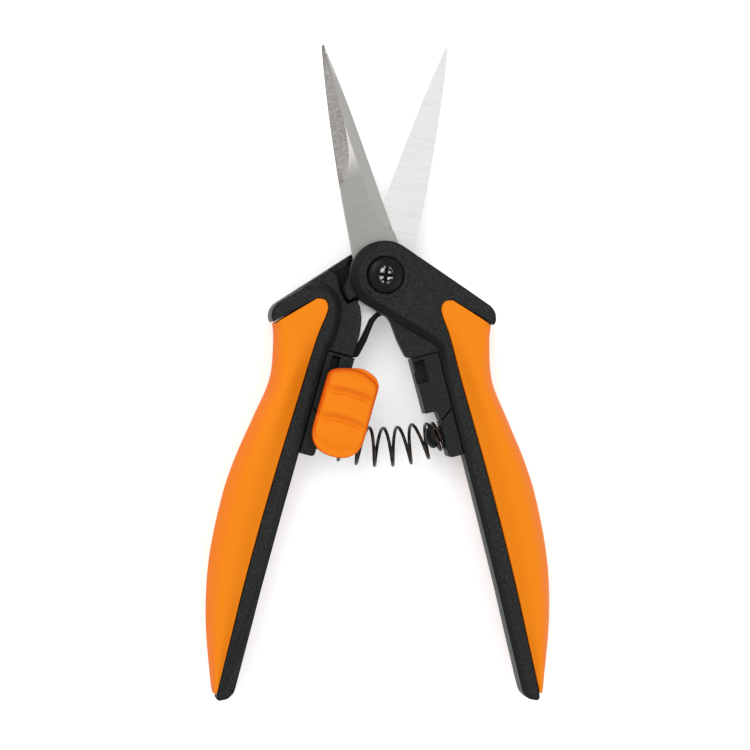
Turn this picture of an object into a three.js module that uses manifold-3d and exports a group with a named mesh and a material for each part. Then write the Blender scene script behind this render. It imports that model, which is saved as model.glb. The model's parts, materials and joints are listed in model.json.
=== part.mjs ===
// Floral snips: two slim crossing blades in spring-opened handles, with a thumb lock.
//
// Units are millimetres. The snips lie on a table, with the blade tips along +Y and the
// pivot axis along Z through the origin, and they stand open, as they do when nobody
// squeezes them. Both halves come from one set of shapes. A half is drawn in its closed
// position, with its handle at X > 0 and z = 0 at the plane where the two blades meet.
// The front half is that drawing turned open. The rear half is the same drawing turned
// over about Y and then opened the other way.

import * as THREE from 'three';
import { mergeVertices } from 'three/addons/utils/BufferGeometryUtils.js';
import Module from 'manifold-3d';

const wasm = await Module();
wasm.setup();

// ---------------------------------------------------------------- driving dimensions

const MID_HEIGHT = 8.0; // blade plane above the table
const HALF_OPENING = THREE.MathUtils.degToRad(15); // each half's turn from closed to open
const GAP = 0.3; // clearance between touching pieces
const HALF_GAP = GAP / 2;

const BLADE_THICKNESS = 2.0;
const TIP_THICKNESS = 1.0;
const BLADE_HUB_RADIUS = 8.0;
const BLADE_OUTER_FACE = HALF_GAP + BLADE_THICKNESS;

const HUB_RADIUS = 8.7;
const HUB_SWING = HUB_RADIUS + 0.5; // room for the other half's hub
const HUB_FACE = 6.6; // height of the hub's face above the blade plane
const STRIP_FACE = 4.2; // height of the black strip along the handle
const WEB_FACE = 3.9; // height of the web between the arm and the handle
const LUG_FACE = 4.6; // height of the stop lug beside the hub
const PLATE_FACE = 3.6; // height of the inner shell's low plate
const SLOPE_START_Y = -9; // the arm's face slopes down from here
const SLOPE_END_Y = -30; // to here, where it meets the strip
const RECESS_RADIUS = 11.8; // swing room for the other half's stop lug

const CORE_FACE = 3.3; // the shells' core under the grip
const CROWN_HEIGHT = 7.95; // highest bulge of the grip

const BLOCK_FACE = 3.7; // half thickness of the lock blocks and the spring seats
const BLOCK_RIGHT = 8.3; // where the blocks meet the handle's inner edge
const BLOCK_TOP = -22.3;
const TONGUE_END = 11.4; // how far their tongues reach into the handle
const TONGUE_HALF = 1.5;
const BLOCK_TONGUE = [-34, -24]; // ends of the lock blocks' tongues along the handle
const SEAT_TONGUE = [-47, -41]; // and of the spring seats' tongues

const TANG_PIN_PLACE = [14.6, -32.0];
const TANG_PIN_RADIUS = 1.2;

const SLEEVE_RADIUS = 3.0;
const SLEEVE_BORE = 2.2;
const SLEEVE_HALF = 5.2;
const SCREW_SHANK = 1.9;
const SCREW_HEAD_RADIUS = 4.4;
const SCREW_HEAD_BASE = 5.6;
const SCREW_HEAD_EDGE = 7.2; // where its chamfer starts
const SCREW_HEAD_TOP = 7.8;
const SCREW_TIP = -7.1;
const CROSS_REACH = 1.6;
const CROSS_HALF_WIDTH = 0.45;
const CROSS_DEPTH = 1.4;
const HEAD_RECESS_FLOOR = 5.3;
const NUT_RADIUS = 4.4; // over its corners
const NUT_INNER_FACE = -6.45;
const NUT_BORE_END = -7.4;
const WASHER_RADIUS = 4.2;
const WASHER_FACES = [-6.15, -5.55];

const POST_Y = -42.9; // the spring posts' axis, along X
const SEAT_FACE = 4.7;
const SEAT_BORE = 1.5;
const POST_TIP = 0.5;
const POST_NOSE = 2.8; // radius of the post's ball nose
const POST_NECK = 1.6;
const POST_STEM = 1.2;
const POST_STEM_END = 8.1;

const WIRE_RADIUS = 0.42;
const COIL_RADIUS = 4.75;
const END_COIL_RADIUS = 3.5;
const SPRING_TURNS = 9.4;
const SPRING_BOW = 6.0; // how far below its ends the wire's path is pulled in the middle
const CLOSE_TURNS = 1.3; // at each end, on the posts
const CLOSE_LENGTH = 1.1;

const LOCK_TRAVEL = 2.8;
const BUTTON_BASE = 5.5;
const BUTTON_TOP = 10.2;
const STUD_PLACE = [-1, -32.2]; // the bolt's stud in the button
const STUD_RADIUS = 1.2;
const STUD_TOP = 7.5;
const BOLT_FOOT = [1.2, 2.4]; // heights of the bolt's foot in the track
const BOLT_ARM = [4.1, BUTTON_BASE - GAP];
const FOOT_ENDS = [-35.2, -29.2];
const TRACK_ENDS = [-36.0, -22.9];
const TOOTH_SIDES = [2.7, 3.9];
const TOOTH_ENDS = [-28.3, -26.5];
const POCKET_FLOOR = 1.2;
const POCKET_ROOM = 0.6; // clearance of the tooth in its pocket

const FINE = 40; // facets round a full circle

// ---------------------------------------------------------------- shaping helpers

/** A closed three.js geometry as a solid that can be cut and joined. */
function solid(geometry) {
  const bare = geometry.clone();
  bare.deleteAttribute('normal');
  bare.deleteAttribute('uv');
  const merged = mergeVertices(bare, 1e-4);
  const mesh = new wasm.Mesh({
    numProp: 3,
    vertProperties: new Float32Array(merged.attributes.position.array),
    triVerts: new Uint32Array(merged.index.array),
  });
  return new wasm.Manifold(mesh);
}

/** A cut solid back as a three.js geometry. */
function geometryOf(shape) {
  const mesh = shape.getMesh();
  const geometry = new THREE.BufferGeometry();
  geometry.setAttribute('position', new THREE.BufferAttribute(mesh.vertProperties, 3));
  geometry.setIndex(new THREE.BufferAttribute(mesh.triVerts, 1));
  geometry.computeVertexNormals();
  return geometry;
}

function vectors(points) {
  return points.map(([x, y]) => new THREE.Vector2(x, y));
}

/** An outline raised from one height to another. */
function slab(outline, low, high, curveSegments = 12) {
  const shape = outline instanceof THREE.Shape ? outline : new THREE.Shape(vectors(outline));
  const depth = high - low;
  const geometry = new THREE.ExtrudeGeometry(shape, { depth, bevelEnabled: false, curveSegments });
  return solid(geometry.translate(0, 0, low));
}

/** A side outline of [y, z] points as a solid between two places along X. */
function sideSlab(outline, low, high, curveSegments = 6) {
  const shape = outline instanceof THREE.Shape ? outline : new THREE.Shape(vectors(outline));
  const settings = { depth: high - low, bevelEnabled: false, curveSegments };
  const turnedToSide = new THREE.Matrix4().makeBasis(
    new THREE.Vector3(0, 1, 0),
    new THREE.Vector3(0, 0, 1),
    new THREE.Vector3(1, 0, 0),
  );
  return solid(new THREE.ExtrudeGeometry(shape, settings).applyMatrix4(turnedToSide).translate(low, 0, 0));
}

function box([x0, x1], [y0, y1], [z0, z1]) {
  const geometry = new THREE.BoxGeometry(x1 - x0, y1 - y0, z1 - z0);
  return solid(geometry.translate((x0 + x1) / 2, (y0 + y1) / 2, (z0 + z1) / 2));
}

/** A round bar along Z. */
function rod(radius, low, high, [x, y] = [0, 0]) {
  const geometry = new THREE.CylinderGeometry(radius, radius, high - low, FINE);
  return solid(geometry.rotateX(Math.PI / 2).translate(x, y, (low + high) / 2));
}

/** A turned piece about Z, from its closed profile of [radius, height]. */
function turned(profile, segments = FINE) {
  const geometry = new THREE.LatheGeometry(vectors([...profile, profile[0]]), segments);
  return solid(geometry.rotateX(Math.PI / 2));
}

/** A list of points moved outwards from its own inside by a distance. */
function grown(points, distance) {
  const side = THREE.ShapeUtils.isClockWise(vectors(points)) ? -1 : 1;
  const count = points.length;
  return points.map(([x, y], i) => {
    const [ax, ay] = points[(i + count - 1) % count];
    const [bx, by] = points[(i + 1) % count];
    const before = new THREE.Vector2(y - ay, ax - x).normalize();
    const after = new THREE.Vector2(by - y, x - bx).normalize();
    const normal = before.clone().add(after).normalize();
    const reach = (side * distance) / Math.max(normal.dot(after), 0.5);
    return [x + normal.x * reach, y + normal.y * reach];
  });
}

/** Points along a smooth curve through a few places. */
function along(places, count) {
  return new THREE.SplineCurve(vectors(places)).getPoints(count).map((p) => [p.x, p.y]);
}

function arc(radius, startDegrees, endDegrees, steps) {
  return Array.from({ length: steps + 1 }, (_, i) => {
    const angle = THREE.MathUtils.degToRad(startDegrees + ((endDegrees - startDegrees) * i) / steps);
    return [radius * Math.cos(angle), radius * Math.sin(angle)];
  });
}

// ---------------------------------------------------------------- shared outlines

const BLADE_SPINE = [
  [-6.6, 4.6], [-6.0, 10.9], [-5.35, 21.3], [-4.43, 31.5], [-3.35, 41.7], [-2.0, 51.9], [-0.75, 59.9],
];
const BLADE_EDGE = [[0.05, 60.2], [2.05, 45.5], [3.16, 34.7], [4.12, 24.0], [5.0, 14.5], [5.9, 5.4]];
const HANDLE_OUTER = [
  [23.6, -19.6], [22.2, -23.6], [20.6, -33.0], [22.1, -43.9], [23.7, -54.8],
  [24.2, -65.4], [23.1, -80.9], [19.75, -95.7], [14.5, -110.0], [13.1, -112.9],
];
const PANEL_INNER = [
  [14.0, -10.2], [11.9, -12.6], [12.3, -20.0], [12.6, -33.0], [13.1, -52.0],
  [13.3, -68.0], [13.2, -84.0], [12.8, -98.0], [12.4, -112.2],
];
const ARM_CORNER = [[24.3, -14.0], [25.1, -15.9], [24.9, -17.9]];
const HANDLE_END = [[11.4, -114.3], [9.3, -113.3], [8.2, -111.4]];
const HANDLE_INNER = [[8.6, -85.0], [8.7, -65.0], [8.6, -26.0]];
const HUB_ARC = arc(HUB_RADIUS, 225, 41, 22);

const outerSilhouette = along(HANDLE_OUTER, 22);

/** Height of a shell's face above the blade plane, at a place along the snips. */
function faceHeight(y) {
  const share = THREE.MathUtils.clamp((SLOPE_START_Y - y) / (SLOPE_START_Y - SLOPE_END_Y), 0, 1);
  return THREE.MathUtils.lerp(HUB_FACE, STRIP_FACE, share);
}

/** Everything above the sloping face, to be cut away. */
function aboveFace() {
  const high = HUB_FACE + 5;
  const side = [
    [SLOPE_START_Y, HUB_FACE], [SLOPE_START_Y, high], [-130, high],
    [-130, STRIP_FACE], [SLOPE_END_Y, STRIP_FACE],
  ];
  return sideSlab(side, -30, 50);
}

// ---------------------------------------------------------------- blade

function bladeOutline() {
  const tang = [
    [9.5, -3.0], [13.0, -9.0], [16.4, -14.0], [16.6, -38.0], [12.7, -38.0], [12.7, -21.4],
    [1.2, -21.4], [0.9, -17.0], [-0.2, -11.5], [-1.3, -9.1],
  ];
  const edge = along(BLADE_EDGE, 10);
  const hubLeft = arc(BLADE_HUB_RADIUS, 248, 152, 8);
  const hubRight = arc(BLADE_HUB_RADIUS, 36, 4, 4);
  return [...along(BLADE_SPINE, 12), ...edge, ...hubRight, ...tang, ...hubLeft];
}

/** The blade with its tang: it thins towards the tip on its outer face. */
function blade() {
  const thinning = [[6, BLADE_OUTER_FACE], [6, 5], [64, 5], [64, HALF_GAP + TIP_THICKNESS]];
  return slab(bladeOutline(), HALF_GAP, BLADE_OUTER_FACE)
    .subtract(sideSlab(thinning, -20, 20))
    .subtract(rod(SLEEVE_RADIUS + GAP, -1, 4))
    .subtract(rod(TANG_PIN_RADIUS + GAP, -1, 4, TANG_PIN_PLACE));
}

// ---------------------------------------------------------------- grip

const GRIP_STATIONS = 22;
const GRIP_STEPS = 8; // across the front of one section
const CROWN_BY_LENGTH = new THREE.SplineCurve(
  vectors([[0, 6.7], [0.25, 7.8], [0.5, CROWN_HEIGHT], [0.75, 7.5], [1, 4.5]]),
);
const panelInnerCurve = new THREE.SplineCurve(vectors(PANEL_INNER));
const panelOuterCurve = new THREE.SplineCurve(vectors(HANDLE_OUTER));

/** Half thickness of the grip, from its inner border (0) across to its outer side (1). */
function gripHeight(border, crown, across) {
  const bulge = border + (crown - border) * (1 - (1 - 2 * across) ** 2);
  return bulge * Math.sqrt(1 - across ** 5);
}

/** One ring of the grip: over the front, round the outer side and back under. */
function gripRing(share) {
  const inner = panelInnerCurve.getPointAt(share);
  const outer = panelOuterCurve.getPointAt(share);
  const crown = CROWN_BY_LENGTH.getPoint(share).y;
  const border = faceHeight(inner.y);
  const ring = [];
  for (let i = -GRIP_STEPS; i <= GRIP_STEPS; i += 1) {
    const across = 1 - Math.abs(i / GRIP_STEPS) ** 1.5;
    const place = inner.clone().lerp(outer, across);
    const height = gripHeight(border, crown, across) * Math.sign(-i);
    ring.push(new THREE.Vector3(place.x, place.y, height));
  }
  return ring;
}

/** A closed solid through a row of rings, with flat ends. */
function lofted(rings) {
  const size = rings[0].length;
  const positions = rings.flat().flatMap((p) => [p.x, p.y, p.z]);
  const index = [];
  for (let k = 0; k + 1 < rings.length; k += 1) {
    for (let i = 0; i < size; i += 1) {
      const a = k * size + i;
      const b = k * size + ((i + 1) % size);
      index.push(a, b + size, b, a, a + size, b + size);
    }
  }
  const last = (rings.length - 1) * size;
  for (let i = 1; i + 1 < size; i += 1) {
    index.push(0, i, i + 1);
    index.push(last, last + i + 1, last + i);
  }
  const geometry = new THREE.BufferGeometry();
  geometry.setAttribute('position', new THREE.Float32BufferAttribute(positions, 3));
  geometry.setIndex(index);
  return solid(geometry);
}

function panelOutline() {
  const inner = panelInnerCurve.getSpacedPoints(GRIP_STATIONS).map((p) => [p.x, p.y]);
  const outer = panelOuterCurve.getSpacedPoints(GRIP_STATIONS).map((p) => [p.x, p.y]);
  return [...inner, ...outer.reverse()];
}

const CORE_OUTER = [
  [21.6, -15.0], [21.0, -19.5], [19.4, -24.0], [17.8, -33.0], [19.3, -43.9], [20.9, -54.8],
  [21.4, -65.4], [20.3, -80.9], [17.0, -95.0], [13.6, -104.5],
];

/** The part of the shells that the grip wraps. */
function coreOutline() {
  return [[9.0, -4.0], [19.0, -11.0], ...along(CORE_OUTER, 20), [11.0, -107.0], [9.0, -107.0]];
}

function grip() {
  const rings = Array.from({ length: GRIP_STATIONS + 1 }, (_, k) => gripRing(k / GRIP_STATIONS));
  const room = slab(grown(coreOutline(), GAP), -CORE_FACE - GAP, CORE_FACE + GAP);
  return lofted(rings).subtract(room);
}

/** Where the grip lies, with clearance, apart from the core that it wraps. */
function gripRoom() {
  const high = CROWN_HEIGHT + 2;
  return slab(grown(panelOutline(), GAP), -high, high).subtract(slab(coreOutline(), -CORE_FACE, CORE_FACE));
}

// ---------------------------------------------------------------- handle shells

const ARM_UNDERSIDE = [[8.6, -22.0], [8.0, -20.8], [6.9, -19.3]];

function handleSide() {
  return [...ARM_CORNER, ...outerSilhouette, ...HANDLE_END, ...HANDLE_INNER];
}

/** Slots for the tongues of the lock block and the spring seat. */
function tongueSlots() {
  const across = [BLOCK_RIGHT - 1, TONGUE_END + GAP];
  const deep = [-TONGUE_HALF - GAP, TONGUE_HALF + GAP];
  const slot = ([low, high]) => box(across, [low - GAP, high + GAP], deep);
  return slot(BLOCK_TONGUE).add(slot(SEAT_TONGUE));
}

/** The shell on the blade's side: hub, sloping arm, web, stop lug and half of the handle. */
function outerShell() {
  const armOutline = [...handleSide(), ...ARM_UNDERSIDE, ...HUB_ARC];
  const webOutline = [
    [-3.3, -8.3], [-2.4, -9.3], [-1.8, -10.5], [-1.2, -12.0], [-0.9, -14.5], [-0.6, -17.0],
    [-0.1, -19.3], [0.3, -21.1], [1.4, -22.0], [9.5, -22.0], [9.5, -12.0], [0, -6.0],
  ];
  const lugOutline = [[-7.5, 3.0], [-10.9, -1.0], [-10.3, -4.1], [-7.2, -3.1]];
  const bladeRoom = slab(grown(bladeOutline(), GAP), -1, BLADE_OUTER_FACE + GAP);
  return slab(armOutline, HALF_GAP, HUB_FACE)
    .subtract(aboveFace())
    .add(slab(webOutline, HALF_GAP, WEB_FACE))
    .subtract(rod(HUB_SWING, -1, BLADE_OUTER_FACE + GAP))
    .add(slab(lugOutline, BLADE_OUTER_FACE + GAP, LUG_FACE))
    .add(slab(lugOutline, GAP, BLADE_OUTER_FACE + 2 * GAP).subtract(rod(HUB_SWING, -1, 3)))
    .subtract(bladeRoom)
    .subtract(gripRoom())
    .subtract(tongueSlots())
    .subtract(rod(TANG_PIN_RADIUS + GAP, -1, HUB_FACE, TANG_PIN_PLACE))
    .subtract(rod(SLEEVE_RADIUS + GAP, 0, HUB_FACE + 1))
    .subtract(rod(SCREW_HEAD_RADIUS + GAP, HEAD_RECESS_FLOOR, HUB_FACE + 1));
}

/** The shell on the other side: it leaves the hub clear and holds the stop's nose. */
function innerShell() {
  const recess = arc(RECESS_RADIUS, -17, -54, 6);
  const nose = [[5.1, -7.7], [3.7, -9.2], [2.5, -12.2], [1.95, -15.5], [1.9, -17.6], [2.2, -22.0]];
  const plateOutline = [...handleSide(), [8.6, -22.0], ...nose.reverse(), ...recess.reverse(), [13.9, -2.6]];
  const raisedOutline = [
    ...handleSide(), [8.6, -22.0], [7.7, -20.6], [7.6, -18.0], [7.7, -14.0], [8.3, -10.9], [9.6, -8.6],
    [11.4, -7.0], [13.6, -6.2], [15.8, -6.4], [17.6, -7.0],
  ];
  const shell = slab(plateOutline, HALF_GAP, PLATE_FACE)
    .add(slab(raisedOutline, HALF_GAP, HUB_FACE).subtract(aboveFace()))
    .subtract(gripRoom())
    .subtract(tongueSlots())
    .subtract(rod(TANG_PIN_RADIUS + GAP, -1, HUB_FACE, TANG_PIN_PLACE));
  return shell.mirror([0, 0, 1]);
}

function tangPin() {
  return rod(TANG_PIN_RADIUS, -CORE_FACE + 0.1, CORE_FACE - 0.1, TANG_PIN_PLACE);
}

// ---------------------------------------------------------------- lock blocks and spring seats

const BLOCK_OUTLINE = [
  [1.5, BLOCK_TOP], [BLOCK_RIGHT, BLOCK_TOP], [BLOCK_RIGHT, -36.7], [4.9, -39.1],
  [4.6, -37.0], [4.2, -36.6], [1.65, -36.5],
];

/** A tongue that starts just inside its block and reaches into the handle. */
function tongue(ends) {
  return box([BLOCK_RIGHT - 0.1, TONGUE_END], ends, [-TONGUE_HALF, TONGUE_HALF]);
}

function lockBlock() {
  return slab(BLOCK_OUTLINE, -BLOCK_FACE, BLOCK_FACE).add(tongue(BLOCK_TONGUE));
}

/** The front half's block, with the bent pocket that the lock's tooth enters and turns up into. */
function catchBlock() {
  const depth = [POCKET_FLOOR, BLOCK_FACE + 1];
  const [left, right] = [TOOTH_SIDES[0] - POCKET_ROOM, TOOTH_SIDES[1] + POCKET_ROOM];
  const [bottom, top] = [TOOTH_ENDS[0] - POCKET_ROOM, TOOTH_ENDS[1] + POCKET_ROOM];
  const entry = box([0, right], [bottom, top], depth);
  const chamber = box([left, right], [bottom, top + LOCK_TRAVEL], depth);
  return lockBlock().subtract(entry).subtract(chamber);
}

/** The rear half's block, drawn at X > 0 and then set at X < 0, with its T-shaped track. */
function lockRail() {
  const wide = box([4.3, 7.7], TRACK_ENDS, [0.2, 2.7]);
  const narrow = box([4.9, 7.1], TRACK_ENDS, [2.6, BLOCK_FACE + 1]);
  return lockBlock().subtract(wide).subtract(narrow).mirror([1, 0, 0]);
}

function springSeat() {
  const outline = [
    [4.75, -39.6], [BLOCK_RIGHT, -37.1], [BLOCK_RIGHT, -48.9], [5.4, -48.9], [SEAT_FACE, -48.0],
  ];
  const bore = rod(SEAT_BORE, -1, 4).rotate([0, 90, 0]).translate([SEAT_FACE, POST_Y, 0]);
  return slab(outline, -BLOCK_FACE, BLOCK_FACE).add(tongue(SEAT_TONGUE)).subtract(bore);
}

/** The ball-nosed post that holds one end of the spring, pressed into its seat. */
function springPost() {
  const noseLength = 1.6;
  const nose = Array.from({ length: 9 }, (_, i) => {
    const angle = (Math.PI * i) / 10;
    return [POST_NOSE * Math.sin(angle), POST_TIP + noseLength * (1 - Math.cos(angle))];
  });
  const shoulder = SEAT_FACE - GAP;
  const neck = [[POST_NECK, 3.4], [POST_NECK, shoulder]];
  const stem = [[POST_STEM, shoulder], [POST_STEM, POST_STEM_END], [0, POST_STEM_END]];
  return turned([...nose, ...neck, ...stem], 24).rotate([0, 90, 0]).translate([0, POST_Y, 0]);
}

// ---------------------------------------------------------------- pivot hardware

function pivotScrew() {
  const profile = [
    [0, SCREW_TIP], [SCREW_SHANK, SCREW_TIP],
    [SCREW_SHANK, SCREW_HEAD_BASE], [SCREW_HEAD_RADIUS, SCREW_HEAD_BASE],
    [SCREW_HEAD_RADIUS, SCREW_HEAD_EDGE], [3.7, SCREW_HEAD_TOP], [0, SCREW_HEAD_TOP],
  ];
  const long = [-CROSS_REACH, CROSS_REACH];
  const narrow = [-CROSS_HALF_WIDTH, CROSS_HALF_WIDTH];
  const depth = [SCREW_HEAD_TOP - CROSS_DEPTH, SCREW_HEAD_TOP + 1];
  return turned(profile).subtract(box(long, narrow, depth)).subtract(box(narrow, long, depth));
}

/** A blind hexagon nut: its flat back is the lowest face, where the snips rest. */
function pivotNut() {
  const height = NUT_INNER_FACE + MID_HEIGHT;
  const hexagon = new THREE.CylinderGeometry(NUT_RADIUS, NUT_RADIUS, height, 6);
  hexagon.rotateX(Math.PI / 2).translate(0, 0, NUT_INNER_FACE - height / 2);
  return solid(hexagon).subtract(rod(SLEEVE_BORE, NUT_BORE_END, 0));
}

function pivotWasher() {
  const [low, high] = WASHER_FACES;
  return turned([[SLEEVE_BORE, low], [WASHER_RADIUS, low], [WASHER_RADIUS, high], [SLEEVE_BORE, high]]);
}

function pivotSleeve() {
  return turned([
    [SLEEVE_BORE, -SLEEVE_HALF], [SLEEVE_RADIUS, -SLEEVE_HALF],
    [SLEEVE_RADIUS, SLEEVE_HALF], [SLEEVE_BORE, SLEEVE_HALF],
  ]);
}

// ---------------------------------------------------------------- lock

const BUTTON_SIDES = [-7.4, 5.9];
const BUTTON_ENDS = [-47.6, -25.1];

function buttonOutline() {
  const [left, right] = BUTTON_SIDES;
  const [bottom, top] = BUTTON_ENDS;
  const middle = (left + right) / 2;
  const shape = new THREE.Shape();
  shape.moveTo(left + 0.6, top - 1.7);
  shape.quadraticCurveTo(middle, top + 1.0, right - 0.8, top - 2.2);
  shape.lineTo(right, top - 3.4);
  shape.lineTo(right, bottom + 5.2);
  shape.bezierCurveTo(right - 1.5, bottom + 1.0, middle + 3.0, bottom, middle, bottom);
  shape.bezierCurveTo(middle - 3.0, bottom, left + 1.5, bottom + 1.0, left, bottom + 5.2);
  shape.lineTo(left, top - 2.9);
  return shape;
}

/** The thumb button, with two hollow grooves across it and a blind hole for the bolt's stud. */
function lockButton() {
  const groove = (y) => {
    const scoop = new THREE.CylinderGeometry(5, 5, 20, 32);
    return solid(scoop.rotateZ(Math.PI / 2).translate(0, y, BUTTON_TOP + 4.1));
  };
  return slab(buttonOutline(), BUTTON_BASE, BUTTON_TOP, 8)
    .subtract(groove(-31.5))
    .subtract(groove(-38.0))
    .subtract(rod(STUD_RADIUS + GAP, BUTTON_BASE - 1, STUD_TOP + GAP, STUD_PLACE));
}

/** The sliding bolt under the button: foot in the track, arm across, tooth at its end. */
function lockBolt() {
  const overlap = 0.1; // into the next part of the bolt, so that they join
  const arm = [FOOT_ENDS[0], TOOTH_ENDS[1]];
  return box([-7.4, -4.6], FOOT_ENDS, BOLT_FOOT)
    .add(box([-6.8, -5.2], FOOT_ENDS, [BOLT_FOOT[1] - overlap, BOLT_ARM[0] + overlap]))
    .add(box([-6.8, TOOTH_SIDES[1]], arm, BOLT_ARM))
    .add(box(TOOTH_SIDES, TOOTH_ENDS, [POCKET_FLOOR + POCKET_ROOM, BOLT_ARM[0] + overlap]))
    .add(rod(STUD_RADIUS, BOLT_ARM[1] - overlap, STUD_TOP, STUD_PLACE));
}

/** The bowed leaf at the bottom of the track that keeps the bolt where it is put. */
function detentSpring() {
  const [start, end] = [-35.4, -23.4];
  const middle = (start + end) / 2;
  const shape = new THREE.Shape();
  shape.moveTo(start, 0.5);
  shape.quadraticCurveTo(middle, 0.82, end, 0.5);
  shape.lineTo(end, 0.72);
  shape.quadraticCurveTo(middle, 1.04, start, 0.72);
  return sideSlab(shape, -6.8, -5.2);
}

// ---------------------------------------------------------------- spring

/** The open spring's wire: close coils on each post, wide coils between, bowed down in the middle. */
class SpringWire extends THREE.Curve {
  constructor() {
    super();
    const foot = new THREE.Vector2(SEAT_FACE - 0.75, POST_Y);
    foot.rotateAround(new THREE.Vector2(), HALF_OPENING);
    const lowest = new THREE.Vector2(0, foot.y - SPRING_BOW);
    this.axis = new THREE.QuadraticBezierCurve(foot, lowest, new THREE.Vector2(-foot.x, foot.y));
  }

  getPoint(share, target = new THREE.Vector3()) {
    const fromEnd = Math.min(share, 1 - share) * SPRING_TURNS;
    const spread = THREE.MathUtils.smoothstep(fromEnd, 1.0, 2.4);
    const radius = THREE.MathUtils.lerp(END_COIL_RADIUS, COIL_RADIUS, spread);
    const closedShare = CLOSE_TURNS / SPRING_TURNS;
    const length = this.axis.getLength();
    const middle = (share - closedShare) / (1 - 2 * closedShare);
    let travelled = CLOSE_LENGTH + (length - 2 * CLOSE_LENGTH) * middle;
    if (share < closedShare) travelled = (CLOSE_LENGTH * share) / closedShare;
    if (share > 1 - closedShare) travelled = length - (CLOSE_LENGTH * (1 - share)) / closedShare;
    const at = this.axis.getPointAt(THREE.MathUtils.clamp(travelled / length, 0, 1));
    const ahead = this.axis.getTangentAt(THREE.MathUtils.clamp(travelled / length, 0, 1));
    const angle = share * SPRING_TURNS * 2 * Math.PI;
    const sideways = radius * Math.cos(angle);
    return target.set(at.x - ahead.y * sideways, at.y + ahead.x * sideways, radius * Math.sin(angle));
  }
}

function spring() {
  const section = new THREE.Shape(vectors(arc(WIRE_RADIUS, 0, 300, 5)));
  const steps = Math.round(SPRING_TURNS * 14);
  return new THREE.ExtrudeGeometry(section, { steps, extrudePath: new SpringWire(), bevelEnabled: false });
}

// ---------------------------------------------------------------- assembly

const FINISHES = {
  steel: { color: 0xc9c7c3, roughness: 0.35, metalness: 1.0 },
  nylon: { color: 0x2d3132, roughness: 0.75, metalness: 0.0 },
  grip: { color: 0xf7921e, roughness: 0.6, metalness: 0.0 },
  button: { color: 0xf88720, roughness: 0.45, metalness: 0.0 },
  hardware: { color: 0x15171a, roughness: 0.3, metalness: 0.8 },
  wire: { color: 0x2a211d, roughness: 0.4, metalness: 0.9 },
};

function piece(name, shape, finish) {
  const geometry = shape instanceof THREE.BufferGeometry ? shape : geometryOf(shape);
  const mesh = new THREE.Mesh(geometry, new THREE.MeshStandardMaterial(FINISHES[finish]));
  mesh.name = name;
  return mesh;
}

/** The pieces that both halves have. */
function halfPieces(side) {
  return [
    piece(`${side}_blade`, blade(), 'steel'),
    piece(`${side}_outer_shell`, outerShell(), 'nylon'),
    piece(`${side}_inner_shell`, innerShell(), 'nylon'),
    piece(`${side}_grip`, grip(), 'grip'),
    piece(`${side}_tang_pin`, tangPin(), 'hardware'),
    piece(`${side}_spring_seat`, springSeat(), 'nylon'),
    piece(`${side}_spring_post`, springPost(), 'nylon'),
  ];
}

const frontHalf = new THREE.Group();
frontHalf.rotation.z = HALF_OPENING;
frontHalf.add(...halfPieces('front'));
frontHalf.add(piece('front_catch_block', catchBlock(), 'nylon'));

const turnedOver = new THREE.Group();
turnedOver.rotation.y = Math.PI;
turnedOver.add(...halfPieces('rear'));

const rearHalf = new THREE.Group();
rearHalf.rotation.z = -HALF_OPENING;
rearHalf.add(turnedOver);
rearHalf.add(piece('rear_lock_rail', lockRail(), 'nylon'));
rearHalf.add(piece('lock_detent_spring', detentSpring(), 'hardware'));
rearHalf.add(piece('lock_bolt', lockBolt(), 'nylon'));
rearHalf.add(piece('lock_button', lockButton(), 'button'));

const snips = new THREE.Group();
snips.position.z = MID_HEIGHT;
snips.add(frontHalf, rearHalf);
snips.add(piece('pivot_screw', pivotScrew(), 'hardware'));
snips.add(piece('pivot_sleeve', pivotSleeve(), 'hardware'));
snips.add(piece('pivot_washer', pivotWasher(), 'hardware'));
snips.add(piece('pivot_nut', pivotNut(), 'hardware'));
snips.add(piece('opening_spring', spring(), 'wire'));

export default snips;
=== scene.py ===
"""Floral snips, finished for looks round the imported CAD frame.

Lengths are drawn in millimetres and turned into metres as each piece is placed. As in the
CAD, one half is drawn closed, with its handle at X > 0 and z = 0 at the plane where the
blades meet. FRONT opens that drawing. REAR turns it over about Y and opens it the other
way. REAR_UPRIGHT only opens it, for pieces that are on one side of the snips.
"""

import json
import math

import bmesh
import bpy
import numpy as np
from mathutils import Matrix, Vector
from mathutils.geometry import delaunay_2d_cdt


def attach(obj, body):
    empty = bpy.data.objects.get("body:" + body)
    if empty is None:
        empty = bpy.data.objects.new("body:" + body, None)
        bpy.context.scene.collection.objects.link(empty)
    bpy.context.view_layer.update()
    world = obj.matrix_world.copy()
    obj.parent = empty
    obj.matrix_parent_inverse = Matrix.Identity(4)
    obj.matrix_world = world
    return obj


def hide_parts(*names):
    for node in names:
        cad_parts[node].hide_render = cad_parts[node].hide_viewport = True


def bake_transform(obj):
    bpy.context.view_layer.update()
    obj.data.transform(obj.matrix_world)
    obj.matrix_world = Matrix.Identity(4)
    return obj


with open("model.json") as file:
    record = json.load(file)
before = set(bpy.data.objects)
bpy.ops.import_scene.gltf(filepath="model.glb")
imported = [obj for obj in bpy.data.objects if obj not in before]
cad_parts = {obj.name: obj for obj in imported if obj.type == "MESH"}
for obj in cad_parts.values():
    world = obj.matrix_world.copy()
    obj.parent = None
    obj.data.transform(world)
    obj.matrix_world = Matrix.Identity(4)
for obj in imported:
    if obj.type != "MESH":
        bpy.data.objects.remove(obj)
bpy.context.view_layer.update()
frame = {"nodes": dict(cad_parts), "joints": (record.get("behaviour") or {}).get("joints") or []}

# ------------ driving dimensions, mm

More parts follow.
